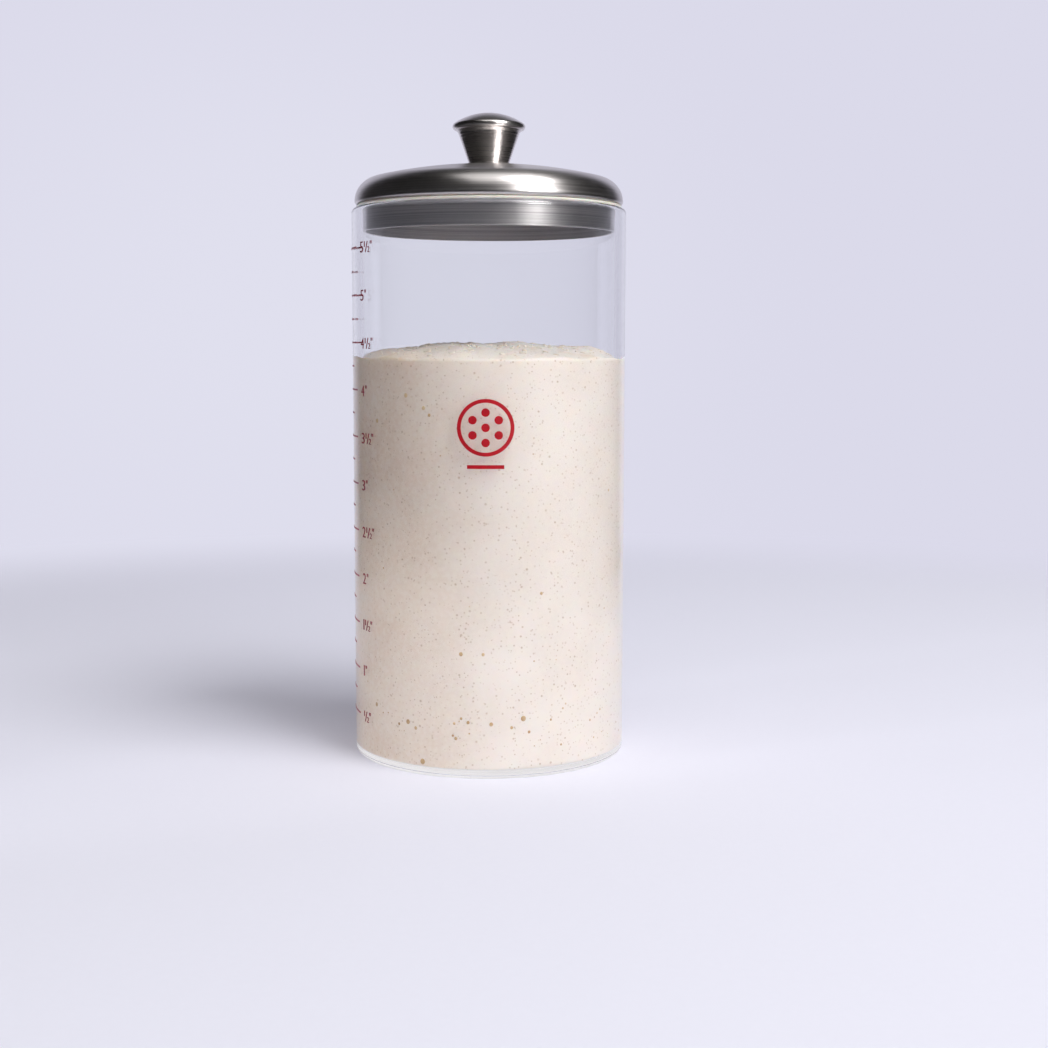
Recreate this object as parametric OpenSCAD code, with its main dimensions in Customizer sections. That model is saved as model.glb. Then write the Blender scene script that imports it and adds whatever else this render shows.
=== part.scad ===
// Straight glass jar with a domed steel lid, filled with sourdough starter.
// The origin is the centre of the base, on the table. +Z is up and -Y is the front.

/* [Glass jar] */
// Outside diameter of the glass
jar_d = 75.4; // [64:0.2:100]
// Height of the glass, from the table to the crest of the rim
jar_h = 150.8; // [120:0.2:220]
// Thickness of the glass wall
wall_t = 2.8; // [2.2:0.1:3.6]
// Thickness of the glass floor over the hollow under the jar
floor_t = 1.6; // [1.4:0.1:5]
// Radius of the outer edge at the bottom of the jar
heel_r = 2; // [1:0.1:3]
// Radius of the corner between the wall and the floor, inside
inside_heel_r = 1; // [0.8:0.1:5]
// Width of the ring that the jar stands on
foot_w = 5; // [3:0.5:8]
// Depth of the hollow under the jar
hollow_h = 0.3; // [0.2:0.1:0.8]

/* [Starter] */
// Depth of the starter, from the glass floor to where it meets the wall
starter_depth = 108.7; // [40:0.1:110]
// How far the middle of the starter has risen above its edge
starter_rise = 3.8; // [2:0.2:6]
// Gap between the starter and the glass
starter_gap = 0.05; // [0.02:0.01:0.2]

/* [Printed scale] */
// Distance between two marks, a quarter of an inch
mark_step = 6.35; // [5:0.05:6.5]
// Number of steps from the table to the lowest mark
first_mark = 2; // [1:1:4]
// Number of steps from the table to the highest mark
last_mark = 22; // [10:1:22]
// Length of a mark that has a number
long_mark = 11.4; // [8:0.2:16]
// Length of a mark that has no number
short_mark = 7; // [3:0.2:12]
// Thickness of a mark's line
mark_line = 0.45; // [0.3:0.05:0.8]
// Angle from the front to the left end of the marks
mark_turn = 88; // [60:1:100]
// Thickness of the printed enamel
print_t = 0.08; // [0.05:0.01:0.2]

/* [Printed motif] */
// Outside diameter of the ring on the front of the jar
motif_d = 14.8; // [10:0.2:18]
// Width of the ring and of the bar under it
motif_line = 1; // [0.6:0.1:1.6]
// Number of dots round the middle of the ring
motif_dots = 6; // [5:1:7]
// Diameter of a dot
dot_d = 2.2; // [1.2:0.1:2.6]
// Diameter of the circle that the dots lie on
dot_circle_d = 7.8; // [7:0.1:8.4]
// Length of the bar under the ring
bar_w = 9.6; // [6:0.2:14]
// Gap between the ring and the bar
bar_gap = 2.2; // [1:0.1:4]
// Height of the middle of the ring above the table
motif_z = 92.6; // [70:0.2:100]
// Angle from the front to the motif, to the left
motif_turn = 1.4; // [0:0.2:10]

/* [Lid] */
// How far the edge of the lid stays inside the outer face of the glass
lid_inset = 0.9; // [0.4:0.1:1.2]
// Thickness of the lid's steel sheet
lid_sheet = 0.8; // [0.5:0.1:0.9]
// Height of the crown of the lid above its widest line
lid_rise = 10; // [8.5:0.5:16]
// Radius of the lid's shoulder
shoulder_r = 6.5; // [4:0.5:7.5]
// Radius of the rolled edge of the lid
hem_r = 1; // [1:0.05:1.3]
// Depth of the collar below the underside of the lid
collar_depth = 7.5; // [5:0.5:14]
// Thickness of the collar's steel sheet
collar_sheet = 0.7; // [0.5:0.1:1]
// Gap between the collar and the inner face of the glass
collar_gap = 0.35; // [0.2:0.05:0.6]
// Gap between the collar and the rolled edge of the lid
hem_gap = 0.4; // [0.2:0.1:0.6]
// Thickness of the silicone seal on the rim
seal_t = 0.75; // [0.5:0.05:1.5]
// Gap between the seal and the collar
seal_gap = 0.1; // [0.05:0.05:0.2]
// Gap between the seal and the crest of the rim
rim_gap = 0.05; // [0.02:0.01:0.1]

/* [Knob] */
// Height of the pressed boss under the knob
boss_h = 0.95; // [0.6:0.05:1.4]
// Width of the curve from the boss to the lid
boss_flare = 2.7; // [1.5:0.1:4]
// Diameter of the knob where it meets the lid
knob_neck_d = 11.2; // [10:0.2:14]
// Diameter of the cone under the cap
knob_mouth_d = 16.8; // [15:0.2:18]
// Height of the cone
cone_h = 8; // [7.5:0.5:14]
// Thickness of the cone's steel sheet
knob_sheet = 0.8; // [0.6:0.1:1]
// Thickness of the floor of the cone
knob_floor = 1; // [0.8:0.1:1.4]
// Diameter of the cap
cap_d = 19.9; // [19:0.1:22]
// Height of the cap above the cone
cap_h = 5.4; // [4.6:0.1:7]
// Radius of the cap's rounded edge
cap_edge_r = 1; // [0.8:0.1:1.2]
// Height of the cap's widest line above the cone
cap_edge_z = 1.7; // [1.6:0.1:2]
// Length of the spigot that centres the cap in the cone
spigot_h = 1.5; // [1:0.1:1.8]
// Gap between the pressed pieces of the knob
press_gap = 0.03; // [0.02:0.01:0.05]
// Number of turned grooves at the top of the cone
groove_count = 2; // [1:1:3]
// Distance between the grooves
groove_step = 0.8; // [0.6:0.1:1]
// Depth of a groove
groove_depth = 0.12; // [0.05:0.01:0.2]

/* [Fastener] */
// Thread diameter of the knob's screw
screw_d = 4; // [3:0.5:4.5]
// Gap round the screw in its threaded core
thread_gap = 0.05; // [0.02:0.01:0.1]
// Gap round the screw in the lid, the cone and the washers
hole_gap = 0.2; // [0.1:0.05:0.4]
// Length of thread in the core
thread_h = 4.6; // [3:0.2:5]
// Diameter of the screw's head
head_d = 7.6; // [6.5:0.1:8.5]
// Height of the screw's head
head_h = 2.2; // [1.8:0.1:3]
// Width of the cross recess in the screw's head
recess_w = 1; // [0.6:0.1:1.4]
// Outside diameter of the flat washer
washer_d = 9; // [8.6:0.1:10]
// Thickness of the flat washer
washer_t = 0.8; // [0.5:0.1:1]
// Outside diameter of the split lock washer
spring_d = 7; // [6.4:0.1:7.6]
// Thickness of the split lock washer
spring_t = 1; // [0.6:0.1:1.4]
// Width of the split in the lock washer
split_w = 0.7; // [0.4:0.1:1.2]

/* [Hidden] */
$fn = 96;
// Number of straight steps along a rounded corner and along a long curve of a profile
corner_steps = 10;
curve_steps = 24;
// How far one solid reaches past the face of another where it cuts it
cut = 1;

jar_r = jar_d / 2;
bore_r = jar_r - wall_t;
floor_z = hollow_h + floor_t;
starter_r = bore_r - starter_gap;
starter_z = floor_z + starter_depth;

// The printed enamel bites into the glass by this much, so that it sits on it all over
print_bite = 0.02;
bar_z = -motif_d / 2 - bar_gap - motif_line / 2;

// Levels of the closed lid, from the rim up
seal_z = jar_h + rim_gap;
lid_z = seal_z + seal_t;
lid_edge_z = lid_z + hem_r;
lid_r = jar_r - lid_inset;
collar_r = bore_r - collar_gap;
flange_z = lid_z + lid_sheet;
flange_r = lid_r - hem_r - press_gap;
seal_inner_r = collar_r + seal_gap;
seal_outer_r = lid_r - lid_inset / 2;

// The crown of the lid, and the boss pressed up at its middle
lid_crown_r = crown_radius(lid_r, lid_rise, shoulder_r);
neck_r = knob_neck_d / 2;
boss_foot_r = neck_r + boss_flare;
boss_foot_z = lid_edge_z + lid_rise - lid_crown_r + sqrt(pow(lid_crown_r, 2) - pow(boss_foot_r, 2));
boss_z = boss_foot_z + boss_h;
flare_r = (pow(boss_flare, 2) + pow(boss_h, 2)) / (2 * boss_h);

// The knob
mouth_r = knob_mouth_d / 2;
cone_top_z = boss_z + cone_h;
core_z = boss_z + knob_floor;
core_r = neck_r - knob_sheet - press_gap;
core_h = thread_h + 0.8;
cap_r = cap_d / 2;

// The screw and its washers, from the underside of the boss down
hole_r = screw_d / 2 + hole_gap;
washer_z = boss_z - lid_sheet - washer_t;
spring_z = washer_z - spring_t;
head_z = spring_z - head_h;
screw_top_z = core_z + thread_h - thread_gap;

// Points along an arc round (x, z), from angle a to angle b
function arc(x, z, r, a, b, steps) =
    [for (i = [0:steps]) let (t = a + (b - a) * i / steps) [x + r * cos(t), z + r * sin(t)]];

// Radius of a crown that rises so far above a rounded edge and meets it smoothly
function crown_radius(edge_r, rise, corner_r) =
    (pow(rise, 2) + pow(edge_r - corner_r, 2) - pow(corner_r, 2)) / (2 * (rise - corner_r));

// Profile of a crowned disc, from radius start_r out to its widest line at height z.
// inset moves the whole profile inwards, for the other face of a sheet.
function crown_path(edge_r, rise, corner_r, z, inset, start_r) =
    let (r = crown_radius(edge_r, rise, corner_r))
    let (tilt = atan2(r - rise, edge_r - corner_r))
    concat(arc(0, z + rise - r, r - inset, acos(start_r / (r - inset)), tilt, curve_steps),
           arc(edge_r - corner_r, z, corner_r - inset, tilt, 0, corner_steps));

// One face of the lid's sheet, from its hole to the inner end of its rolled edge
function lid_path(inset) =
    let (flare_a = asin(boss_flare / flare_r))
    concat([[hole_r, boss_z - inset]],
           arc(boss_foot_r, boss_foot_z + flare_r - inset, flare_r, 270 - flare_a, 270, corner_steps),
           crown_path(lid_r, lid_rise, shoulder_r, lid_edge_z, inset, boss_foot_r + cut),
           arc(lid_r - hem_r, lid_edge_z, hem_r - inset, 0, -90, corner_steps),
           [[collar_r + hem_gap, lid_z + inset]]);

function reversed(list) = [for (i = [len(list) - 1:-1:0]) list[i]];

// Radius of the knob's cone at a height
function cone_r(z) = neck_r + (mouth_r - neck_r) * (z - boss_z) / cone_h;

// Height of the top of the starter at a radius: nearly flat, and steep near the wall
function starter_top(r) = starter_z + starter_rise * (1 - pow(r / starter_r, 5));

module revolve(points) {
    rotate_extrude() polygon(points);
}

module glass_jar() {
    rim_r = wall_t / 2;
    color([0.80, 0.88, 0.90, 0.35])
    revolve(concat(
        [[0, hollow_h], [jar_r - heel_r - foot_w, hollow_h]],
        [[jar_r - heel_r - foot_w + hollow_h, 0]],
        arc(jar_r - heel_r, heel_r, heel_r, -90, 0, corner_steps),
        arc(jar_r - rim_r, jar_h - rim_r, rim_r, 0, 180, 2 * corner_steps),
        arc(bore_r - inside_heel_r, floor_z + inside_heel_r, inside_heel_r, 0, -90, corner_steps),
        [[0, floor_z]]));
}

module sourdough_starter() {
    heel = inside_heel_r;
    color([0.92, 0.88, 0.83])
    revolve(concat(
        [[0, floor_z + starter_gap]],
        arc(starter_r - heel, floor_z + starter_gap + heel, heel, -90, 0, corner_steps),
        [for (i = [curve_steps:-1:0])
            let (r = starter_r * sin(90 * i / curve_steps))
            [r, starter_top(r)]]));
}

module scale_mark(z, length) {
    sweep = length / jar_r * 180 / PI;
    translate([0, 0, z - mark_line / 2])
        rotate([0, 0, 270 - mark_turn])
            rotate_extrude(angle = sweep)
                translate([jar_r - print_bite, 0])
                    square([print_t + print_bite, mark_line]);
}

module scale_marks() {
    color([0.62, 0.10, 0.14])
    for (i = [first_mark:last_mark])
        scale_mark(i * mark_step, i % 2 == 0 ? long_mark : short_mark);
}

module motif_outline() {
    difference() {
        circle(d = motif_d);
        circle(d = motif_d - 2 * motif_line);
    }
    circle(d = dot_d);
    for (i = [0:motif_dots - 1])
        rotate([0, 0, i * 360 / motif_dots])
            translate([0, dot_circle_d / 2])
                circle(d = dot_d);
    translate([-bar_w / 2, bar_z - motif_line / 2])
        square([bar_w, motif_line]);
}

module front_motif() {
    color([0.78, 0.05, 0.14])
    rotate([0, 0, -motif_turn])
    translate([0, 0, motif_z])
    intersection() {
        rotate([90, 0, 0])
            linear_extrude(height = jar_r + cut)
                motif_outline();
        difference() {
            cylinder(r = jar_r + print_t, h = 3 * motif_d, center = true);
            cylinder(r = jar_r - print_bite, h = 3 * motif_d + cut, center = true);
        }
    }
}

module rim_seal() {
    edge_r = seal_t / 2;
    color([0.93, 0.91, 0.85])
    revolve(concat(
        [[seal_inner_r, seal_z]],
        arc(seal_outer_r - edge_r, seal_z + edge_r, edge_r, -90, 90, corner_steps),
        [[seal_inner_r, lid_z]]));
}

module lid_collar() {
    inner_r = collar_r - collar_sheet;
    color([0.62, 0.62, 0.64])
    revolve([[inner_r, lid_z - collar_depth],
             [collar_r, lid_z - collar_depth],
             [collar_r, flange_z],
             [flange_r, flange_z],
             [flange_r, flange_z + collar_sheet],
             [inner_r, flange_z + collar_sheet]]);
}

module lid_dome() {
    color([0.70, 0.70, 0.72])
    revolve(concat(lid_path(0), reversed(lid_path(lid_sheet))));
}

module knob_cone() {
    groove_points = [for (i = [groove_count:-1:1])
        let (z = cone_top_z - i * groove_step)
        for (side = [-1:1])
            [cone_r(z + side * groove_depth) - (side == 0 ? groove_depth : 0), z + side * groove_depth]];
    color([0.60, 0.59, 0.58])
    revolve(concat(
        [[hole_r, boss_z], [neck_r, boss_z]],
        groove_points,
        [[mouth_r, cone_top_z],
         [mouth_r - knob_sheet, cone_top_z],
         [cone_r(core_z) - knob_sheet, core_z],
         [hole_r, core_z]]));
}

module knob_core() {
    thread_r = screw_d / 2 + thread_gap;
    color([0.72, 0.64, 0.40])
    revolve([[thread_r, core_z],
             [core_r, core_z],
             [core_r, core_z + core_h],
             [0, core_z + core_h],
             [0, core_z + thread_h],
             [thread_r, core_z + thread_h]]);
}

module knob_cap() {
    spigot_z = cone_top_z - spigot_h;
    spigot_gap = knob_sheet + press_gap;
    edge_z = cone_top_z + cap_edge_z;
    color([0.75, 0.74, 0.73])
    revolve(concat(
        [[0, spigot_z],
         [cone_r(spigot_z) - spigot_gap, spigot_z],
         [mouth_r - spigot_gap, cone_top_z],
         [mouth_r, cone_top_z]],
        arc(cap_r - cap_edge_r, edge_z, cap_edge_r, -90, 0, corner_steps),
        reversed(crown_path(cap_r, cap_h - cap_edge_z, cap_edge_r, edge_z, 0, 0))));
}

module flat_washer() {
    color([0.66, 0.66, 0.68])
    revolve([[hole_r, washer_z],
             [washer_d / 2, washer_z],
             [washer_d / 2, washer_z + washer_t],
             [hole_r, washer_z + washer_t]]);
}

module lock_washer() {
    color([0.45, 0.45, 0.47])
    difference() {
        revolve([[hole_r, spring_z],
                 [spring_d / 2, spring_z],
                 [spring_d / 2, spring_z + spring_t],
                 [hole_r, spring_z + spring_t]]);
        translate([0, -split_w / 2, spring_z - cut])
            cube([spring_d, split_w, spring_t + 2 * cut]);
    }
}

module knob_screw() {
    head_r = head_d / 2;
    recess_h = head_h / 2;
    color([0.58, 0.58, 0.60])
    difference() {
        union() {
            translate([0, 0, spring_z - head_h / 3])
                cylinder(d = screw_d, h = screw_top_z - spring_z + head_h / 3);
            revolve(concat([[0, spring_z], [head_r, spring_z]],
                           arc(head_r - head_h / 2, head_z + head_h / 2, head_h / 2, 0, -90, corner_steps),
                           [[0, head_z]]));
        }
        for (turn = [0, 90])
            rotate([0, 0, turn])
                translate([-head_d / 4, -recess_w / 2, head_z - cut])
                    cube([head_d / 2, recess_w, recess_h + cut]);
    }
}

glass_jar();
sourdough_starter();
scale_marks();
front_motif();
rim_seal();
lid_collar();
lid_dome();
knob_cone();
knob_core();
knob_cap();
flat_washer();
lock_washer();
knob_screw();
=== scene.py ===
"""Looks of a straight glass jar with a domed steel lid, filled with risen sourdough starter."""

import math

import bmesh
import bpy
from mathutils import Matrix, Vector, noise


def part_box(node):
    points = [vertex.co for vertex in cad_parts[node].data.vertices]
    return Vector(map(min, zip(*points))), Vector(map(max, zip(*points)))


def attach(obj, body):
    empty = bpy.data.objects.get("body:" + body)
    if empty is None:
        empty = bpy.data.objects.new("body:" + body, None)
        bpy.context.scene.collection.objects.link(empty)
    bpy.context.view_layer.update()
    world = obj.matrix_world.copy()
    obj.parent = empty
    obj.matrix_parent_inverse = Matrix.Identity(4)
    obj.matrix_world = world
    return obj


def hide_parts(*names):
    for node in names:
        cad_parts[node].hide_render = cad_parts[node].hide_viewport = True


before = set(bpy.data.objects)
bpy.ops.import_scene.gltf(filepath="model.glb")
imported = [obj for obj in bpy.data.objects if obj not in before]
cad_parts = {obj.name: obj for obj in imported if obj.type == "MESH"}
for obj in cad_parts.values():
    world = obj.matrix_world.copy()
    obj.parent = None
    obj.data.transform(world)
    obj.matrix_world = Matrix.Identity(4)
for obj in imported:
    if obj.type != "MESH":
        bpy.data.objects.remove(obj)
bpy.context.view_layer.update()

MM = 0.001
IN = 0.0254
TAU = 2 * math.pi

# Camera, in metres and radians, for a square frame
CAMERA_AT = Vector((0, -0.4651, 0.11456))
CAMERA_PITCH = 0.109
CAMERA_YAW = 0.021
CAMERA_ROLL = 0.0015
LENS = 57.2
SENSOR = 36.0

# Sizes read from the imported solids
JAR_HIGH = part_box("glass_jar")[1]
STARTER_LOW, STARTER_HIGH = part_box("sourdough_starter")
SEAL_LOW, SEAL_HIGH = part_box("rim_seal")
COLLAR_LOW, COLLAR_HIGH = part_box("lid_collar")
DOME_LOW, DOME_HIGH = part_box("lid_dome")
CONE_LOW, CONE_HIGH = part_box("knob_cone")
CAP_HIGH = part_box("knob_cap")[1]

# Glass and starter
STARTER_GAP = 0.05 * MM
JAR_R = JAR_HIGH.x
JAR_H = JAR_HIGH.z
BORE_R = STARTER_HIGH.x + STARTER_GAP
WALL = JAR_R - BORE_R
FLOOR_Z = STARTER_LOW.z - STARTER_GAP
HEEL_R = 2.0 * MM
INNER_HEEL_R = 1.0 * MM
FOOT_W = 5.0 * MM
HOLLOW_H = 0.3 * MM
DOUGH_RISE = 3.8 * MM
DOUGH_EDGE_Z = STARTER_HIGH.z - DOUGH_RISE
# The dough reaches this far into the glass, so that no film of air shows between them
DOUGH_BITE = 0.02 * MM

# Lid
LID_R = DOME_HIGH.x
LID_Z = DOME_LOW.z
LID_SHEET = 0.8 * MM
LID_RISE = 10.0 * MM
SHOULDER_R = 6.5 * MM
HEM_R = 1.0 * MM
LID_EDGE_Z = LID_Z + HEM_R
HOLE_R = 2.2 * MM
BOSS_Z = DOME_HIGH.z
BOSS_H = 0.95 * MM
BOSS_FLARE = 2.7 * MM
NECK_R = 5.6 * MM
BOSS_FOOT_R = NECK_R + BOSS_FLARE
COLLAR_GAP = 0.35 * MM
COLLAR_R = BORE_R - COLLAR_GAP
COLLAR_SHEET = 0.7 * MM
FLANGE_Z = LID_Z + LID_SHEET
FLANGE_R = COLLAR_HIGH.x
HEM_GAP = 0.4 * MM
SEAL_GAP = 0.1 * MM

# Knob
MOUTH_R = CONE_HIGH.x
CONE_H = CONE_HIGH.z - CONE_LOW.z
KNOB_SHEET = 0.8 * MM
KNOB_FLOOR = 1.0 * MM
PRESS_GAP = 0.03 * MM
SPIGOT_H = 1.5 * MM
CAP_R = CAP_HIGH.x
CAP_EDGE_R = 1.0 * MM
CAP_EDGE_Z = 1.7 * MM
GROOVE_STEP = 0.8 * MM
GROOVE_DEPTH = 0.12 * MM


# Shader maths

class Socket:
    """A node's output, or a number, that + - * / work on by adding Math nodes."""

    def __init__(self, shader, out):
        self.shader = shader
        self.out = out

    def math(self, operation, *others):
        return self.shader.node("ShaderNodeMath", {"operation": operation}, self, *others)

    def __add__(self, other):
        return self.math("ADD", other)

    def __radd__(self, other):
        return self.math("ADD", other)

    def __sub__(self, other):
        return self.math("SUBTRACT", other)

    def __rsub__(self, other):
        return self.shader.node("ShaderNodeMath", {"operation": "SUBTRACT"}, other, self)

    def __mul__(self, other):
        return self.math("MULTIPLY", other)

    def __rmul__(self, other):
        return self.math("MULTIPLY", other)

    def __truediv__(self, other):
        return self.math("DIVIDE", other)

    def __pow__(self, other):
        return self.math("POWER", other)

    def above(self, other):
        return self.math("GREATER_THAN", other)

    def clamp(self):
        return self.shader.node("ShaderNodeClamp", {}, self)

    def ramp(self, low, high, to_low=0.0, to_high=1.0):
        """self, taken smoothly from the range low to high to the range to_low to to_high."""
        settings = {"interpolation_type": "SMOOTHSTEP"}
        return self.shader.node("ShaderNodeMapRange", settings, self, low, high, to_low, to_high)


class Shader:
    """A material and its node tree, which every method adds to."""

    def __init__(self, name):
        self.material = bpy.data.materials.new(name)
        self.material.use_nodes = True
        self.tree = self.material.node_tree
        self.tree.nodes.clear()
        self.output = self.tree.nodes.new("ShaderNodeOutputMaterial")

    def link(self, value, socket):
        if isinstance(value, Socket):
            self.tree.links.new(value.out, socket)
        elif value is not None:
            socket.default_value = value

    def node(self, kind, settings, *values, out=0, **named):
        """Adds a node with its settings, then its inputs by place and by name, and gives one output."""
        made = self.tree.nodes.new(kind)
        for key, value in settings.items():
            setattr(made, key, value)
        for socket, value in zip(made.inputs, values):
            self.link(value, socket)
        for key, value in named.items():
            self.link(value, made.inputs[key.replace("_", " ")])
        return Socket(self, made.outputs[out])

    def place(self):
        return self.node("ShaderNodeTexCoord", {}, out="Object")

    def split(self, vector):
        """The x, y and z of a vector."""
        made = self.node("ShaderNodeSeparateXYZ", {}, vector).out.node
        return [Socket(self, out) for out in made.outputs]

    def join(self, x, y, z):
        return self.node("ShaderNodeCombineXYZ", {}, x, y, z)

    def noise(self, vector, scale, detail=2.0, roughness=0.5):
        return self.node("ShaderNodeTexNoise", {}, Vector=vector, Scale=scale, Detail=detail,
                         Roughness=roughness)

    def mix(self, factor, first, second):
        """A colour between two colours."""
        made = self.tree.nodes.new("ShaderNodeMix")
        made.data_type = "RGBA"
        for key, value in ((0, factor), (6, first), (7, second)):
            self.link(value, made.inputs[key])
        return Socket(self, made.outputs[2])

    def bump(self, height, strength, distance):
        return self.node("ShaderNodeBump", {}, Height=height, Strength=strength, Distance=distance)

    def surface(self, shader):
        self.tree.links.new(shader.out, self.output.inputs["Surface"])
        return self.material

    def principled(self, **values):
        return self.node("ShaderNodeBsdfPrincipled", {}, **values)


def rings(shader, scale):
    """Coordinates in which a noise makes fine rings round the jar's axis."""
    x, y, z = shader.split(shader.place())
    radius = (x * x + y * y) ** 0.5
    return shader.join(radius * scale, z * scale, x * 6.0)


# Materials

def clear_glass():
    """Clear glass with the slight draw lines of a tube; light from lamps shines through it."""
    m = Shader("clear_glass")
    x, y, z = m.split(m.place())
    waves = m.noise(m.join(x * 60.0, y * 60.0, z * 9.0), 1.0, 1.0)
    smudges = m.noise(m.place(), 45.0, 3.0).ramp(0.55, 0.75, 0.0, 0.02)
    glass = m.principled(Base_Color=(0.985, 0.99, 0.995, 1), Roughness=smudges, IOR=1.47,
                         Transmission_Weight=1.0, Normal=m.bump(waves, 0.25, 0.03 * MM))
    clear = m.node("ShaderNodeBsdfTransparent", {}, Color=(0.96, 0.965, 0.97, 1))
    diffuse = m.node("ShaderNodeLightPath", {}, out="Is Diffuse Ray")
    shadow = m.node("ShaderNodeLightPath", {}, out="Is Shadow Ray")
    glass = m.node("ShaderNodeMixShader", {}, diffuse, glass, clear)
    return m.surface(m.node("ShaderNodeMixShader", {}, shadow, glass, clear))


def dough():
    """Wet risen dough: cream, with faint clouds, fine grain and many pinholes, with painted shade towards
    -X and a painted glow underneath.
    """
    m = Shader("risen_dough")
    place = m.place()
    clouds = m.noise(place, 55.0, 3.0)
    # Painted shade: the dough's colour turns darker and warmer towards -X, standing in for the shade on
    # that side
    painted_side_shade = m.split(place)[0].ramp(-0.034, 0.006)
    shade = m.mix(painted_side_shade, (0.765, 0.61, 0.475, 1), (0.84, 0.755, 0.675, 1))
    bright = m.mix(painted_side_shade, (0.82, 0.69, 0.565, 1), (0.89, 0.81, 0.74, 1))
    colour = m.mix(clouds.ramp(0.3, 0.7), shade, bright)
    grain = m.noise(place, 900.0, 2.0)
    colour = m.mix(grain.ramp(0.3, 0.75) * 0.4, colour, (0.90, 0.82, 0.73, 1))
    pores = 0.0
    for scale, size, share in ((300.0, 0.135, 0.30), (560.0, 0.21, 0.28), (1000.0, 0.27, 0.35)):
        cells = m.node("ShaderNodeTexVoronoi", {"feature": "F1"}, Vector=place, Scale=scale)
        chance = m.split(Socket(m, cells.out.node.outputs["Color"]))
        spot = cells.ramp(size * 0.35, size, 1.0, 0.0) * chance[0].above(share)
        pores = spot * chance[1].ramp(0.0, 1.0, 0.35, 1.0) + pores
    pores = pores.clamp()
    colour = m.mix(pores * 0.62, colour, (0.46, 0.31, 0.19, 1))
    tan = m.noise(place, 150.0, 2.0).ramp(0.60, 0.78) * m.split(place)[2].ramp(0.1085, 0.112)
    colour = m.mix(tan * 0.55, colour, (0.78, 0.60, 0.42, 1))
    # Painted light: the underside, below about 3 mm, glows by emission over a darkened base colour,
    # standing in for light that the clear floor of the jar carries in under the dough
    facing = m.split(m.node("ShaderNodeNewGeometry", {}, out="Normal"))[2]
    painted_underside_glow = facing.ramp(-0.75, -0.25, 1.0, 0.0) * m.split(place)[2].ramp(0.0026, 0.0034, 1.0, 0.0)
    colour = m.mix(painted_underside_glow, colour, (0.05, 0.05, 0.05, 1))
    height = grain * 0.3 - pores
    return m.surface(m.principled(
        Base_Color=colour, Roughness=clouds.ramp(0.3, 0.7, 0.42, 0.58),
        Subsurface_Weight=0.45, Subsurface_Radius=(1.0, 0.6, 0.35), Subsurface_Scale=5 * MM,
        Emission_Color=m.mix(painted_underside_glow, (0, 0, 0, 1), (0.68, 0.66, 0.665, 1)), Emission_Strength=1.0,
        Normal=m.bump(height, 0.35, 0.1 * MM)))


def bubble_skin():
    """Thin tan skin over a bubble that lies against the glass."""
    m = Shader("bubble_skin")
    tone = m.noise(m.place(), 260.0, 2.0).ramp(0.3, 0.7)
    colour = m.mix(tone, (0.46, 0.26, 0.10, 1), (0.72, 0.52, 0.30, 1))
    return m.surface(m.principled(Base_Color=colour, Roughness=0.35,
                                  Subsurface_Weight=0.1, Subsurface_Scale=1 * MM))


def foam_skin():
    """Pale wet skin of the bubbles on the top of the dough."""
    m = Shader("foam_skin")
    tone = m.noise(m.place(), 300.0, 2.0).ramp(0.3, 0.7)
    colour = m.mix(tone, (0.74, 0.62, 0.49, 1), (0.86, 0.78, 0.68, 1))
    return m.surface(m.principled(Base_Color=colour, Roughness=tone.ramp(0.0, 1.0, 0.35, 0.5)))


def spun_steel(name, light, dark, rough, grain_scale, anisotropic, depth=0.02):
    """Warm steel with fine rings from spinning or turning, and light handling marks."""
    m = Shader(name)
    lines = m.noise(rings(m, grain_scale), 1.0, 3.0, 0.6)
    broad = m.noise(rings(m, grain_scale * 0.12), 1.0, 2.0)
    wear = m.noise(m.place(), 130.0, 4.0, 0.6)
    tone = lines * 0.7 + broad * 0.3
    colour = m.mix(tone.ramp(0.3, 0.7), (dark * 1.03, dark * 0.975, dark * 0.955, 1),
                   (light * 1.03, light * 0.975, light * 0.955, 1))
    roughness = tone.ramp(0.25, 0.75, rough - 0.05, rough + 0.06) + wear.ramp(0.55, 0.8, 0.0, 0.06)
    return m.surface(m.principled(
        Base_Color=colour, Metallic=1.0, Roughness=roughness, Anisotropic=anisotropic,
        Anisotropic_Rotation=0.25, Normal=m.bump(lines, 0.25, depth * MM)))


def silicone():
    """Pale, slightly cloudy silicone."""
    m = Shader("pale_silicone")
    clouds = m.noise(m.place(), 220.0, 2.0)
    colour = m.mix(clouds.ramp(0.3, 0.7), (0.86, 0.81, 0.70, 1), (0.93, 0.89, 0.80, 1))
    return m.surface(m.principled(
        Base_Color=colour, Roughness=clouds.ramp(0.3, 0.7, 0.38, 0.5),
        Subsurface_Weight=0.3, Subsurface_Scale=1 * MM, Normal=m.bump(clouds, 0.2, 0.03 * MM)))


def enamel(name, light, dark):
    """Fired print, a little uneven in thickness."""
    m = Shader(name)
    clouds = m.noise(m.place(), 700.0, 3.0)
    return m.surface(m.principled(
        Base_Color=m.mix(clouds.ramp(0.3, 0.7), dark, light), Specular_IOR_Level=0.3,
        Roughness=clouds.ramp(0.3, 0.7, 0.4, 0.55), Normal=m.bump(clouds, 0.25, 0.02 * MM)))


def turned_brass():
    m = Shader("turned_brass")
    lines = m.noise(rings(m, 5000.0), 1.0, 2.0)
    colour = m.mix(lines.ramp(0.3, 0.7), (0.62, 0.44, 0.17, 1), (0.76, 0.58, 0.27, 1))
    return m.surface(m.principled(Base_Color=colour, Metallic=1.0,
                                  Roughness=lines.ramp(0.3, 0.7, 0.25, 0.4)))


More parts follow.
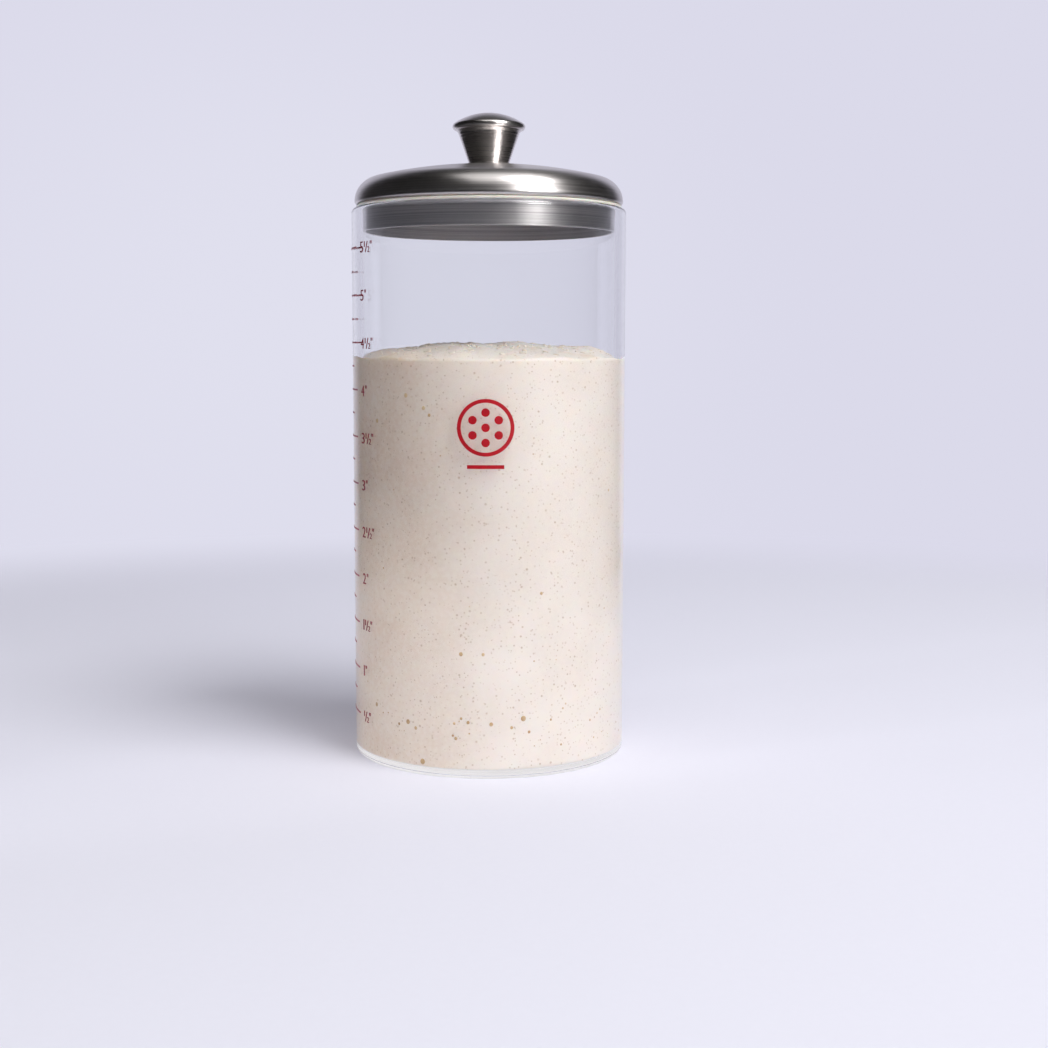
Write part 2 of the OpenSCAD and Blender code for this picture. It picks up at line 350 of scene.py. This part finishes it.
def studio_paper(wall_only=False):
    """Pale lilac paper: lit by the lamps on the floor; up the wall it glows by emission, with painted light
    that is lighter near a spot left of the jar and painted shade towards the top.
    """
    m = Shader("studio_wall" if wall_only else "studio_paper")
    x, y, z = m.split(m.place())
    fibres = m.noise(m.place(), 500.0, 2.0)
    floor_colour = m.mix(fibres, (0.80, 0.80, 0.895, 1), (0.815, 0.815, 0.91, 1))
    # Painted light: the wall's glow is lighter near a spot left of the jar, 0.16 m up, and fainter away
    # from it
    painted_light_spot_offset = (x + 0.16) ** 2 + (z - 0.16) ** 2 * 1.5
    wall_colour = m.mix((painted_light_spot_offset ** 0.5).ramp(0.05, 0.45), (0.745, 0.742, 0.855, 1), (0.708, 0.700, 0.824, 1))
    dark = (0, 0, 0, 1)
    # Painted shade: the wall's glow darkens towards its top
    wall_colour = m.mix(z.ramp(0.55, 1.15) * 0.6, wall_colour, dark)
    if wall_only:
        # What steel behind glass mirrors at the sides is the dark end of the room
        mirrored = m.node("ShaderNodeLightPath", {}, out="Glossy Depth").above(0.5)
        behind = m.node("ShaderNodeLightPath", {}, out="Transmission Depth").above(3.5)
        return m.surface(m.principled(
            Base_Color=dark, Roughness=0.9, Specular_IOR_Level=0.0, Emission_Strength=1.0,
            Emission_Color=m.mix(mirrored * behind, wall_colour, dark)))
    radius = (x * x + y * y) ** 0.5
    wall = radius.ramp(0.34, 0.54)
    # What glass and steel mirror is bright behind the jar and near it, and ends softly elsewhere
    rays = m.node("ShaderNodeLightPath", {}, out="Is Transmission Ray")
    mirrored = (1.0 - rays) * m.node("ShaderNodeLightPath", {}, out="Is Glossy Ray")
    ends = mirrored * radius.ramp(0.16, 0.50) * (y / radius).ramp(0.68, 0.90, 1.0, 0.0)
    return m.surface(m.principled(
        Base_Color=m.mix(wall + ends, floor_colour, dark), Roughness=0.9, Specular_IOR_Level=0.0,
        Emission_Strength=1.0, Emission_Color=m.mix(wall * (1.0 - ends), dark, wall_colour)))


# Mesh helpers

def arc(x, z, r, start, end, steps):
    """Points round (x, z), from one angle to another, in degrees."""
    angles = [math.radians(start + (end - start) * i / steps) for i in range(steps + 1)]
    return [(x + r * math.cos(a), z + r * math.sin(a)) for a in angles]


def crown_radius(edge_r, rise, corner_r):
    return (rise ** 2 + (edge_r - corner_r) ** 2 - corner_r ** 2) / (2 * (rise - corner_r))


def crown_path(edge_r, rise, corner_r, z, inset, start_r, steps=40):
    """Profile of a crowned disc, from start_r out to its widest line at height z."""
    r = crown_radius(edge_r, rise, corner_r)
    tilt = math.degrees(math.atan2(r - rise, edge_r - corner_r))
    start = math.degrees(math.acos(start_r / (r - inset)))
    return (arc(0, z + rise - r, r - inset, start, tilt, steps)
            + arc(edge_r - corner_r, z, corner_r - inset, tilt, 0, steps // 2))


def new_object(name, mesh, *materials):
    made = bpy.data.objects.new(name, mesh)
    bpy.context.scene.collection.objects.link(made)
    for material in materials:
        mesh.materials.append(material)
    return made


def held(points, closed):
    """The same profile with a point near both ends of each long straight run, to keep its shading flat."""
    near = 0.06 * MM
    out = []
    count = len(points)
    for i, (a, b) in enumerate(zip(points, points[1:] + points[:1])):
        out.append(a)
        length = math.dist(a, b)
        if length > 8 * near and (closed or i < count - 1):
            for share in (near / length, 1 - near / length):
                out.append((a[0] + (b[0] - a[0]) * share, a[1] + (b[1] - a[1]) * share))
    return out


def revolved(name, points, material, segments=192, sharp=30.0):
    """A closed ring of profile points (radius, height), turned round the axis."""
    points = [p for i, p in enumerate(points) if math.dist(p, points[i - 1]) > 0.0005 * MM]
    on_axis = points[0][0] < 1e-9 and points[-1][0] < 1e-9
    points = held(points, not on_axis)
    bm = bmesh.new()
    verts = [bm.verts.new((r, 0, z)) for r, z in points]
    pairs = list(zip(verts, verts[1:])) + ([] if on_axis else [(verts[-1], verts[0])])
    edges = [bm.edges.new(pair) for pair in pairs]
    bmesh.ops.spin(bm, geom=verts + edges, cent=(0, 0, 0), axis=(0, 0, 1), angle=TAU, steps=segments,
                   use_duplicate=False)
    bmesh.ops.remove_doubles(bm, verts=bm.verts, dist=0.0002 * MM)
    bmesh.ops.recalc_face_normals(bm, faces=bm.faces)
    for face in bm.faces:
        face.smooth = True
    for edge in bm.edges:
        edge.smooth = not edge.is_manifold or edge.calc_face_angle(0) < math.radians(sharp)
    mesh = bpy.data.meshes.new(name)
    bm.to_mesh(mesh)
    bm.free()
    return new_object(name, mesh, material)


def finish_piece(piece, body, slot, *nodes):
    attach(piece, body)
    if nodes:
        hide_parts(*nodes)


def on_glass(mesh, azimuth, height, lift):
    """Bends a flat mesh in X and Y round the jar: azimuth is from the front towards -X, in degrees."""
    r = JAR_R + lift
    for v in mesh.vertices:
        a = math.radians(270 - azimuth) + v.co.x / r
        depth = r + v.co.z
        v.co = Vector((depth * math.cos(a), depth * math.sin(a), height + v.co.y))


# Pieces

def make_glass(material):
    rim_r = WALL / 2
    points = [(0, HOLLOW_H), (JAR_R - HEEL_R - FOOT_W, HOLLOW_H), (JAR_R - HEEL_R - FOOT_W + HOLLOW_H, 0)]
    points += arc(JAR_R - HEEL_R, HEEL_R, HEEL_R, -90, 0, 16)
    points += arc(JAR_R - rim_r, JAR_H - rim_r, rim_r, 0, 180, 32)
    points += arc(BORE_R - INNER_HEEL_R, FLOOR_Z + INNER_HEEL_R, INNER_HEEL_R, 0, -90, 16)
    points += [(0, FLOOR_Z)]
    finish_piece(revolved("glass_body", points, material, segments=256), "jar", "glass", "glass_jar")


def dough_top(x, y):
    """Height of the lumpy top of the dough."""
    r = min(math.hypot(x, y) / BORE_R, 1.0)
    place = Vector((x, y, 0))
    lumps = noise.noise(place * 75.0 + Vector((3.1, 0.4, 0))) * 1.1
    lumps += noise.noise(place * 190.0 + Vector((0, 7.7, 1.3))) * 0.55
    lumps += abs(noise.noise(place * 520.0)) * 0.35
    edge = noise.noise(place * 160.0 + Vector((5.0, 0, 2.0))) * 0.5 * r ** 12
    return DOUGH_EDGE_Z + DOUGH_RISE * (1 - r ** 5) + ((lumps - 0.75) * (1 - 0.55 * r ** 8) + edge) * MM


def make_dough(material):
    """The body of the starter: a wall that meets the glass, and a lumpy top."""
    radius = BORE_R + DOUGH_BITE
    around = 256
    base_z = FLOOR_Z - DOUGH_BITE
    ring = [(math.cos(TAU * i / around), math.sin(TAU * i / around)) for i in range(around)]
    heel = arc(radius - INNER_HEEL_R, base_z + INNER_HEEL_R, INNER_HEEL_R, -90, 0, 12)
    wall_z = [heel[-1][1] + 0.06 * MM] + [DOUGH_EDGE_Z - d * MM for d in (8.0, 2.5, 1.2)]
    loops = [[(r * c, r * s, z) for c, s in ring] for r, z in heel + [(radius, z) for z in wall_z]]
    for i in range(72, 0, -1):
        r = radius * math.sin(math.pi / 2 * i / 72)
        loops.append([(r * c, r * s, dough_top(r * c, r * s)) for c, s in ring])
    bm = bmesh.new()
    rows = [[bm.verts.new(p) for p in loop] for loop in loops]
    for low, high in zip(rows, rows[1:]):
        for i in range(around):
            j = (i + 1) % around
            bm.faces.new((low[i], low[j], high[j], high[i]))
    bottom = bm.verts.new((0, 0, base_z))
    crest = bm.verts.new((0, 0, dough_top(0, 0)))
    for i in range(around):
        j = (i + 1) % around
        bm.faces.new((rows[0][j], rows[0][i], bottom))
        bm.faces.new((rows[-1][i], rows[-1][j], crest))
    bmesh.ops.recalc_face_normals(bm, faces=bm.faces)
    for face in bm.faces:
        face.smooth = True
    mesh = bpy.data.meshes.new("starter_dough")
    bm.to_mesh(mesh)
    bm.free()
    piece = new_object("starter_dough", mesh, material)
    finish_piece(piece, "jar", "starter", "sourdough_starter")
    return piece


def flat_type(text, width, height, x, y):
    """Vertices and faces of a piece of plain type, fitted to a box whose lower left corner is (x, y)."""
    curve = bpy.data.curves.new("flat_type", "FONT")
    curve.body = text
    curve.resolution_u = 4
    curve.extrude = 0.05 * MM
    flat = bpy.data.objects.new("flat_type", curve)
    bpy.context.scene.collection.objects.link(flat)
    bpy.context.view_layer.update()
    mesh = bpy.data.meshes.new_from_object(flat.evaluated_get(bpy.context.evaluated_depsgraph_get()))
    bpy.data.objects.remove(flat)
    low = [min(v.co[i] for v in mesh.vertices) for i in (0, 1)]
    high = [max(v.co[i] for v in mesh.vertices) for i in (0, 1)]
    scale = (width / (high[0] - low[0]), height / (high[1] - low[1]))
    for v in mesh.vertices:
        v.co.x = x + (v.co.x - low[0]) * scale[0]
        v.co.y = y + (v.co.y - low[1]) * scale[1]
    return mesh


DIGIT_W = 2.05 * MM
DIGIT_H = 2.9 * MM
# Where the numbers begin, in degrees from the front, and how far they sit below the marks and off the glass
NUMBER_TURN = 65.4
NUMBER_DROP = 0.2 * MM
PRINT_LIFT = 0.03 * MM


def number_type(whole, half):
    """Parts of an inch number: (text, width, height, x, y)."""
    parts = []
    x = 0.0
    if whole:
        width = DIGIT_W * (0.3 if whole == 1 else 1.0)
        parts.append((str(whole), width, DIGIT_H, x, 0))
        x += width + 0.65 * MM
    if half:
        small = DIGIT_H * 0.52
        parts += [("1", DIGIT_W * 0.22, small, x, DIGIT_H - small),
                  ("/", DIGIT_W * 0.75, DIGIT_H, x + DIGIT_W * 0.30, 0),
                  ("2", DIGIT_W * 0.58, small, x + DIGIT_W * 0.95, 0)]
        x += DIGIT_W * 1.53 + 0.25 * MM
    parts.append(('"', DIGIT_W * 0.42, DIGIT_H * 0.30, x, DIGIT_H * 0.72))
    return parts


def place_numbers(material):
    """Inch numbers beside the long marks, in plain type bent round the glass."""
    for count in range(1, 12):
        bm = bmesh.new()
        for part in number_type(*divmod(count, 2)):
            mesh = flat_type(*part)
            bm.from_mesh(mesh)
            bpy.data.meshes.remove(mesh)
        bmesh.ops.remove_doubles(bm, verts=bm.verts, dist=0.002 * MM)
        mesh = bpy.data.meshes.new(f"scale_number_{count}")
        bm.to_mesh(mesh)
        bm.free()
        for v in mesh.vertices:
            v.co.y -= DIGIT_H / 2
        on_glass(mesh, NUMBER_TURN, count * IN / 2 - NUMBER_DROP, PRINT_LIFT)
        number = new_object(f"scale_number_{count}", mesh, material)
        finish_piece(number, "jar", "print")


def make_seal(material):
    edge_r = (SEAL_HIGH.z - SEAL_LOW.z) / 2
    inner_r = COLLAR_R + SEAL_GAP
    points = [(inner_r, SEAL_LOW.z)]
    points += arc(SEAL_HIGH.x - edge_r, SEAL_LOW.z + edge_r, edge_r, -90, 90, 16)
    points += [(inner_r, SEAL_HIGH.z)]
    finish_piece(revolved("seal_ring", points, material), "seal", "silicone", "rim_seal")


def make_collar(material):
    inner_r = COLLAR_R - COLLAR_SHEET
    low = COLLAR_LOW.z
    soft = 0.2 * MM
    points = arc(inner_r + soft, low + soft, soft, 180, 270, 5)
    points += arc(COLLAR_R - soft, low + soft, soft, -90, 0, 5)
    points += [(COLLAR_R, FLANGE_Z), (FLANGE_R, FLANGE_Z), (FLANGE_R, FLANGE_Z + COLLAR_SHEET),
               (inner_r, FLANGE_Z + COLLAR_SHEET)]
    piece = revolved("collar_ring", points, material, segments=256)
    finish_piece(piece, "lid", "collar_steel", "lid_collar")


def lid_path(inset):
    """One face of the lid's sheet, from its hole to the inner end of its rolled edge."""
    flare_r = (BOSS_FLARE ** 2 + BOSS_H ** 2) / (2 * BOSS_H)
    flare_a = math.degrees(math.asin(BOSS_FLARE / flare_r))
    foot_z = BOSS_Z - BOSS_H
    return ([(HOLE_R, BOSS_Z - inset)]
            + arc(BOSS_FOOT_R, foot_z + flare_r - inset, flare_r, 270 - flare_a, 270, 16)
            + crown_path(LID_R, LID_RISE, SHOULDER_R, LID_EDGE_Z, inset, BOSS_FOOT_R + 1 * MM, 48)
            + arc(LID_R - HEM_R, LID_EDGE_Z, HEM_R - inset, 0, -90, 16)
            + [(COLLAR_R + HEM_GAP, LID_Z + inset)])


def make_dome(material):
    points = lid_path(0) + lid_path(LID_SHEET)[::-1]
    finish_piece(revolved("dome_sheet", points, material, segments=256), "lid", "lid_steel", "lid_dome")


def cone_r(z):
    return NECK_R + (MOUTH_R - NECK_R) * (z - BOSS_Z) / CONE_H


def make_cone(material):
    top = BOSS_Z + CONE_H
    floor_z = BOSS_Z + KNOB_FLOOR
    points = [(HOLE_R, BOSS_Z), (NECK_R, BOSS_Z)]
    for i in (2, 1):
        z = top - i * GROOVE_STEP
        for painted_side_shade in (-1, 0, 1):
            here = z + painted_side_shade * GROOVE_DEPTH
            points.append((cone_r(here) - (GROOVE_DEPTH if painted_side_shade == 0 else 0), here))
    points += [(MOUTH_R, top), (MOUTH_R - KNOB_SHEET, top), (cone_r(floor_z) - KNOB_SHEET, floor_z),
               (HOLE_R, floor_z)]
    finish_piece(revolved("cone_shell", points, material), "lid", "knob_steel", "knob_cone")


def make_cap(material):
    top = BOSS_Z + CONE_H
    spigot_z = top - SPIGOT_H
    spigot_gap = KNOB_SHEET + PRESS_GAP
    edge_z = top + CAP_EDGE_Z
    crown = crown_path(CAP_R, CAP_HIGH.z - edge_z, CAP_EDGE_R, edge_z, 0, 0)
    points = [(0, spigot_z), (cone_r(spigot_z) - spigot_gap, spigot_z), (MOUTH_R - spigot_gap, top),
              (MOUTH_R, top)]
    points += arc(CAP_R - CAP_EDGE_R, edge_z, CAP_EDGE_R, -90, 0, 12)
    points += crown[::-1]
    points[-1] = (0, points[-1][1])
    finish_piece(revolved("cap_shell", points, material), "lid", "knob_steel", "knob_cap")


# Bubbles

def bubble_tree(name):
    """Scatters low bubbles over the faces of the object, turned to each face."""
    tree = bpy.data.node_groups.new(name, "GeometryNodeTree")
    face = tree.interface
    face.new_socket("Geometry", in_out="INPUT", socket_type="NodeSocketGeometry")
    for label, kind in (("Density", "Float"), ("Smallest", "Float"), ("Largest", "Float"),
                        ("Height", "Float"), ("Seed", "Int"), ("Finish", "Material")):
        face.new_socket(label, in_out="INPUT", socket_type="NodeSocket" + kind)
    face.new_socket("Geometry", in_out="OUTPUT", socket_type="NodeSocketGeometry")
    nodes, links = tree.nodes, tree.links
    given = nodes.new("NodeGroupInput").outputs
    result = nodes.new("NodeGroupOutput")
    spread = nodes.new("GeometryNodeDistributePointsOnFaces")
    ball = nodes.new("GeometryNodeMeshUVSphere")
    ball.inputs["Segments"].default_value = 10
    ball.inputs["Rings"].default_value = 5
    ball.inputs["Radius"].default_value = 1.0
    size = nodes.new("FunctionNodeRandomValue")
    size.data_type = "FLOAT"
    skew = nodes.new("ShaderNodeMath")
    skew.operation = "POWER"
    skew.inputs[1].default_value = 2.5
    spread_size = nodes.new("ShaderNodeMapRange")
    scale = nodes.new("ShaderNodeCombineXYZ")
    place = nodes.new("GeometryNodeInstanceOnPoints")
    real = nodes.new("GeometryNodeRealizeInstances")
    finish = nodes.new("GeometryNodeSetMaterial")
    smooth = nodes.new("GeometryNodeSetShadeSmooth")
    links.new(given["Geometry"], spread.inputs["Mesh"])
    links.new(given["Density"], spread.inputs["Density"])
    links.new(given["Seed"], spread.inputs["Seed"])
    links.new(given["Seed"], size.inputs["Seed"])
    links.new(size.outputs[1], skew.inputs[0])
    links.new(skew.outputs[0], spread_size.inputs["Value"])
    links.new(given["Smallest"], spread_size.inputs["To Min"])
    links.new(given["Largest"], spread_size.inputs["To Max"])
    for axis in "XY":
        links.new(spread_size.outputs[0], scale.inputs[axis])
    links.new(given["Height"], scale.inputs["Z"])
    links.new(spread.outputs["Points"], place.inputs["Points"])
    links.new(spread.outputs["Rotation"], place.inputs["Rotation"])
    links.new(ball.outputs["Mesh"], place.inputs["Instance"])
    links.new(scale.outputs[0], place.inputs["Scale"])
    links.new(place.outputs[0], real.inputs[0])
    links.new(real.outputs[0], smooth.inputs["Geometry"])
    links.new(smooth.outputs[0], finish.inputs["Geometry"])
    links.new(given["Finish"], finish.inputs["Material"])
    links.new(finish.outputs[0], result.inputs[0])
    return tree


def scatter(name, tree, mesh, values, slot):
    """Runs the tree on a mesh and keeps what it makes as a plain piece."""
    holder = new_object(name + "_field", mesh)
    modifier = holder.modifiers.new("bubbles", "NODES")
    modifier.node_group = tree
    for item in tree.interface.items_tree:
        if item.in_out == "INPUT" and item.name in values:
            modifier[item.identifier] = values[item.name]
    bpy.context.view_layer.update()
    seen = holder.evaluated_get(bpy.context.evaluated_depsgraph_get())
    made = bpy.data.meshes.new_from_object(seen)
    holder.modifiers.remove(modifier)
    bpy.data.objects.remove(holder)
    piece = new_object(name, made)
    finish_piece(piece, "jar", slot)
    return piece


def wall_band(low, high):
    """The wall of the dough between two heights."""
    radius = BORE_R + DOUGH_BITE
    bm = bmesh.new()
    around = 128
    rows = [[bm.verts.new((radius * math.cos(TAU * i / around), radius * math.sin(TAU * i / around), z))
             for i in range(around)] for z in (low, high)]
    for i in range(around):
        j = (i + 1) % around
        bm.faces.new((rows[0][i], rows[0][j], rows[1][j], rows[1][i]))
    mesh = bpy.data.meshes.new("wall_band")
    bm.to_mesh(mesh)
    bm.free()
    return mesh


def top_field():
    """The top of the dough, away from the wall."""
    bm = bmesh.new()
    around, count = 64, 24
    reach = BORE_R - 1.6 * MM
    rows = []
    for k in range(1, count + 1):
        r = reach * k / count
        ring = [(r * math.cos(TAU * i / around), r * math.sin(TAU * i / around)) for i in range(around)]
        rows.append([bm.verts.new((x, y, dough_top(x, y))) for x, y in ring])
    for low, high in zip(rows, rows[1:]):
        for i in range(around):
            j = (i + 1) % around
            bm.faces.new((low[i], high[i], high[j], low[j]))
    mesh = bpy.data.meshes.new("top_field")
    bm.to_mesh(mesh)
    bm.free()
    return mesh


# The larger bubbles against the glass: (degrees from the front, height in mm, radius in mm)
LARGE_BUBBLES = (
    (-57.0, 16.6, 0.55), (-37.0, 13.8, 0.60), (-15.0, 14.6, 0.35), (-12.0, 16.0, 0.35),
    (-9.0, 15.0, 0.42), (0.8, 14.6, 0.50), (9.4, 13.6, 0.40), (14.5, 15.9, 0.68),
    (-14.3, 10.6, 0.42), (-29.6, 3.6, 0.70), (-12.0, 33.2, 0.52), (-2.6, 33.2, 0.42),
    (22.4, 49.0, 0.40), (-37.2, 100.6, 0.55), (-28.4, 97.4, 0.50), (-25.7, 95.6, 0.42),
    (-55.0, 93.6, 0.55), (-33.0, 12.4, 0.45), (-42.0, 12.8, 0.38), (17.0, 12.2, 0.38),
    (27.0, 15.0, 0.30), (150.0, 15.6, 0.60), (118.0, 13.2, 0.50), (-130.0, 14.4, 0.55),
    (171.0, 34.0, 0.50), (-102.0, 60.0, 0.45), (86.0, 90.2, 0.50), (-158.0, 98.6, 0.55))


def place_large_bubbles(material):
    """Low closed caps, pressed a hair's breadth into the glass so that they show through it."""
    bm = bmesh.new()
    for degrees, height, size in LARGE_BUBBLES:
        a = math.radians(270 + degrees)
        out = Vector((math.cos(a), math.sin(a), 0))
        turn = out.to_track_quat("Z", "Y").to_matrix().to_4x4()
        shape = Matrix.Diagonal((size * MM, size * MM * 1.12, 0.06 * MM, 1))
        place = Matrix.Translation(out * (BORE_R + DOUGH_BITE) + Vector((0, 0, height * MM)))
        bmesh.ops.create_icosphere(bm, subdivisions=2, radius=1.0, matrix=place @ turn @ shape)
    for face in bm.faces:
        face.smooth = True
    mesh = bpy.data.meshes.new("large_bubbles")
    bm.to_mesh(mesh)
    bm.free()
    finish_piece(new_object("large_bubbles", mesh, material), "jar", "starter")


def make_bubbles(tan, pale):
    tree = bubble_tree("scatter_bubbles")
    values = {"Smallest": 0.10 * MM, "Largest": 0.40 * MM, "Height": 0.05 * MM, "Finish": tan}
    for name, low, high, density, seed in (("low_bubbles", 6.0, 19.0, 26000.0, 11),
                                           ("wall_bubbles", 19.0, 107.0, 4200.0, 5)):
        scatter(name, tree, wall_band(low * MM, high * MM), dict(values, Density=density, Seed=seed),
                "starter")
    scatter("top_bubbles", tree, top_field(),
            {"Density": 70000.0, "Smallest": 0.25 * MM, "Largest": 1.3 * MM, "Height": 0.3 * MM,
             "Seed": 23, "Finish": pale}, "starter")
    place_large_bubbles(tan)


def paint_nodes(paints):
    for name, material in paints.items():
        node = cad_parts[name]
        node.data.materials.clear()
        node.data.materials.append(material)


# Stage

MIDDLE = Vector((0, 0, 0.09))


def make_stage():
    """A sheet of paper that curves up behind the jar; the rest of the room is paper to the eye only."""
    bend = 0.45
    floor_r = 0.55
    wall_top = 1.2
    profile = [(0.1, 0), (0.3, 0)] + arc(floor_r, bend, bend, -90, 0, 24) + [(floor_r + bend, wall_top)]
    around = 96
    open_from, open_to = 11, 37
    sheets = (("paper_sweep", lambda i, k: k < 2 or open_from <= i < open_to),
              ("paper_surround", lambda i, k: k >= 2 and not open_from <= i < open_to))
    made = []
    for name, keeps in sheets:
        bm = bmesh.new()
        rows = [[bm.verts.new((r * math.cos(TAU * i / around), r * math.sin(TAU * i / around), z))
                 for i in range(around)] for r, z in profile]
        if name == "paper_sweep":
            middle = bm.verts.new((0, 0, 0))
            for i in range(around):
                bm.faces.new((middle, rows[0][i], rows[0][(i + 1) % around]))
        for k, (low, high) in enumerate(zip(rows, rows[1:])):
            for i in range(around):
                j = (i + 1) % around
                if keeps(i, k):
                    bm.faces.new((low[i], high[i], high[j], low[j]))
        bmesh.ops.delete(bm, geom=[v for v in bm.verts if not v.link_faces], context="VERTS")
        for face in bm.faces:
            face.smooth = True
        mesh = bpy.data.meshes.new(name)
        bm.to_mesh(mesh)
        bm.free()
        made.append(new_object(name, mesh, studio_paper(name == "paper_surround")))
    for kind in ("diffuse", "glossy", "shadow"):
        setattr(made[1], "visible_" + kind, False)


def aim(thing, target):
    thing.rotation_euler = (target - thing.location).to_track_quat("-Z", "Y").to_euler()


def add_light(name, size, place, target, power, colour):
    light = bpy.data.lights.new(name, "AREA")
    light.shape = "RECTANGLE"
    light.size, light.size_y = size
    light.energy = power
    light.color = colour
    lamp = bpy.data.objects.new(name, light)
    lamp.location = place
    aim(lamp, target)
    bpy.context.scene.collection.objects.link(lamp)
    return lamp


def lamp_place(azimuth, elevation, distance):
    """A point seen from the jar at so many degrees clockwise from the back, and above the floor."""
    a, e = math.radians(azimuth), math.radians(elevation)
    return Vector((math.sin(a) * math.cos(e), math.cos(a) * math.cos(e), math.sin(e))) * distance + MIDDLE


def make_lights():
    add_light("key_softbox", (0.70, 0.60), lamp_place(131, 54, 1.5), MIDDLE, 11.0, (1.0, 1.0, 1.0))
    add_light("low_softbox", (0.78, 0.52), lamp_place(141, 21, 1.5), MIDDLE, 5.0, (1.0, 1.0, 1.0))
    add_light("top_scrim", (0.95, 1.10), Vector((0.12, -0.55, 1.40)), Vector((0.10, -0.40, 0)), 4.2,
              (1.0, 1.0, 1.0))
    fill = add_light("front_fill", (0.90, 0.70), lamp_place(158, 40, 1.5), MIDDLE, 3.4, (1.0, 0.985, 0.97))
    fill.visible_glossy = False
    # Only steel and glass mirror this one
    card = add_light("steel_card", (0.50, 0.26), lamp_place(138, 16.5, 1.5), MIDDLE, 8.0, (1.0, 1.0, 1.0))
    card.visible_diffuse = False
    # A narrow beam that lightens the lower left of the dough
    beam = bpy.data.lights.new("low_beam", "SPOT")
    beam.energy = 6.0
    beam.spot_size = math.radians(7.4)
    beam.spot_blend = 0.35
    beam.shadow_soft_size = 0.015
    spot = bpy.data.objects.new("low_beam", beam)
    spot.location = lamp_place(242, 1.5, 0.9)
    aim(spot, Vector((-0.02, -0.01, 0.012)))
    spot.visible_glossy = False
    bpy.context.scene.collection.objects.link(spot)
    world = bpy.data.worlds.new("studio_air")
    bpy.context.scene.world = world
    world.use_nodes = True
    tree = world.node_tree
    background = tree.nodes["Background"]
    air = tree.nodes.new("ShaderNodeLightPath").outputs
    tone = tree.nodes.new("ShaderNodeMix")
    tone.data_type = "RGBA"
    tone.inputs[6].default_value = (1.0, 0.99, 0.98, 1)
    tone.inputs[7].default_value = (0.708, 0.700, 0.824, 1)
    level = tree.nodes.new("ShaderNodeMix")
    level.inputs[2].default_value = 0.20
    level.inputs[3].default_value = 1.0
    dim = tree.nodes.new("ShaderNodeMix")
    dim.inputs[3].default_value = 0.012
    tree.links.new(air["Is Camera Ray"], tone.inputs[0])
    tree.links.new(air["Is Camera Ray"], level.inputs[0])
    tree.links.new(air["Is Glossy Ray"], dim.inputs[0])
    tree.links.new(level.outputs[0], dim.inputs[2])
    tree.links.new(tone.outputs[2], background.inputs["Color"])
    tree.links.new(dim.outputs[0], background.inputs["Strength"])


def make_camera():
    data = bpy.data.cameras.new("view_camera")
    data.lens = LENS
    data.sensor_width = SENSOR
    data.clip_start = 0.01
    camera = bpy.data.objects.new("view_camera", data)
    ahead = Vector((math.sin(CAMERA_YAW) * math.cos(CAMERA_PITCH),
                    math.cos(CAMERA_YAW) * math.cos(CAMERA_PITCH),
                    -math.sin(CAMERA_PITCH)))
    level = Vector((math.cos(CAMERA_YAW), -math.sin(CAMERA_YAW), 0))
    over = level.cross(ahead)
    right = level * math.cos(CAMERA_ROLL) + over * math.sin(CAMERA_ROLL)
    up = right.cross(ahead)
    turn = Matrix((right, up, -ahead)).transposed()
    camera.matrix_world = Matrix.Translation(CAMERA_AT) @ turn.to_4x4()
    bpy.context.scene.collection.objects.link(camera)
    bpy.context.scene.camera = camera


def main():
    make_camera()
    make_stage()
    make_lights()
    bright_red = enamel("red_enamel", (0.52, 0.001, 0.012, 1), (0.42, 0.001, 0.009, 1))
    dark_red = enamel("dark_red_enamel", (0.30, 0.012, 0.03, 1), (0.22, 0.010, 0.025, 1))
    fastener = spun_steel("fastener_steel", 0.66, 0.56, 0.30, 4000.0, 0.2)
    knob_steel = spun_steel("knob_steel", 0.66, 0.50, 0.28, 3600.0, 0.8)
    make_glass(clear_glass())
    make_dough(dough())
    make_bubbles(bubble_skin(), foam_skin())
    place_numbers(dark_red)
    make_seal(silicone())
    make_collar(spun_steel("collar_steel", 0.58, 0.29, 0.33, 3200.0, 0.85))
    make_dome(spun_steel("lid_steel", 0.70, 0.52, 0.31, 2600.0, 0.45, 0.035))
    make_cone(knob_steel)
    make_cap(spun_steel("cap_steel", 0.70, 0.58, 0.28, 2600.0, 0.3))
    paint_nodes({
        "scale_marks": enamel("pale_red_enamel", (0.46, 0.13, 0.16, 1), (0.38, 0.10, 0.13, 1)),
        "front_motif": bright_red,
        "knob_core": turned_brass(),
        "flat_washer": fastener,
        "lock_washer": fastener,
        "knob_screw": fastener})
    bpy.context.scene.view_settings.view_transform = "Standard"


main()
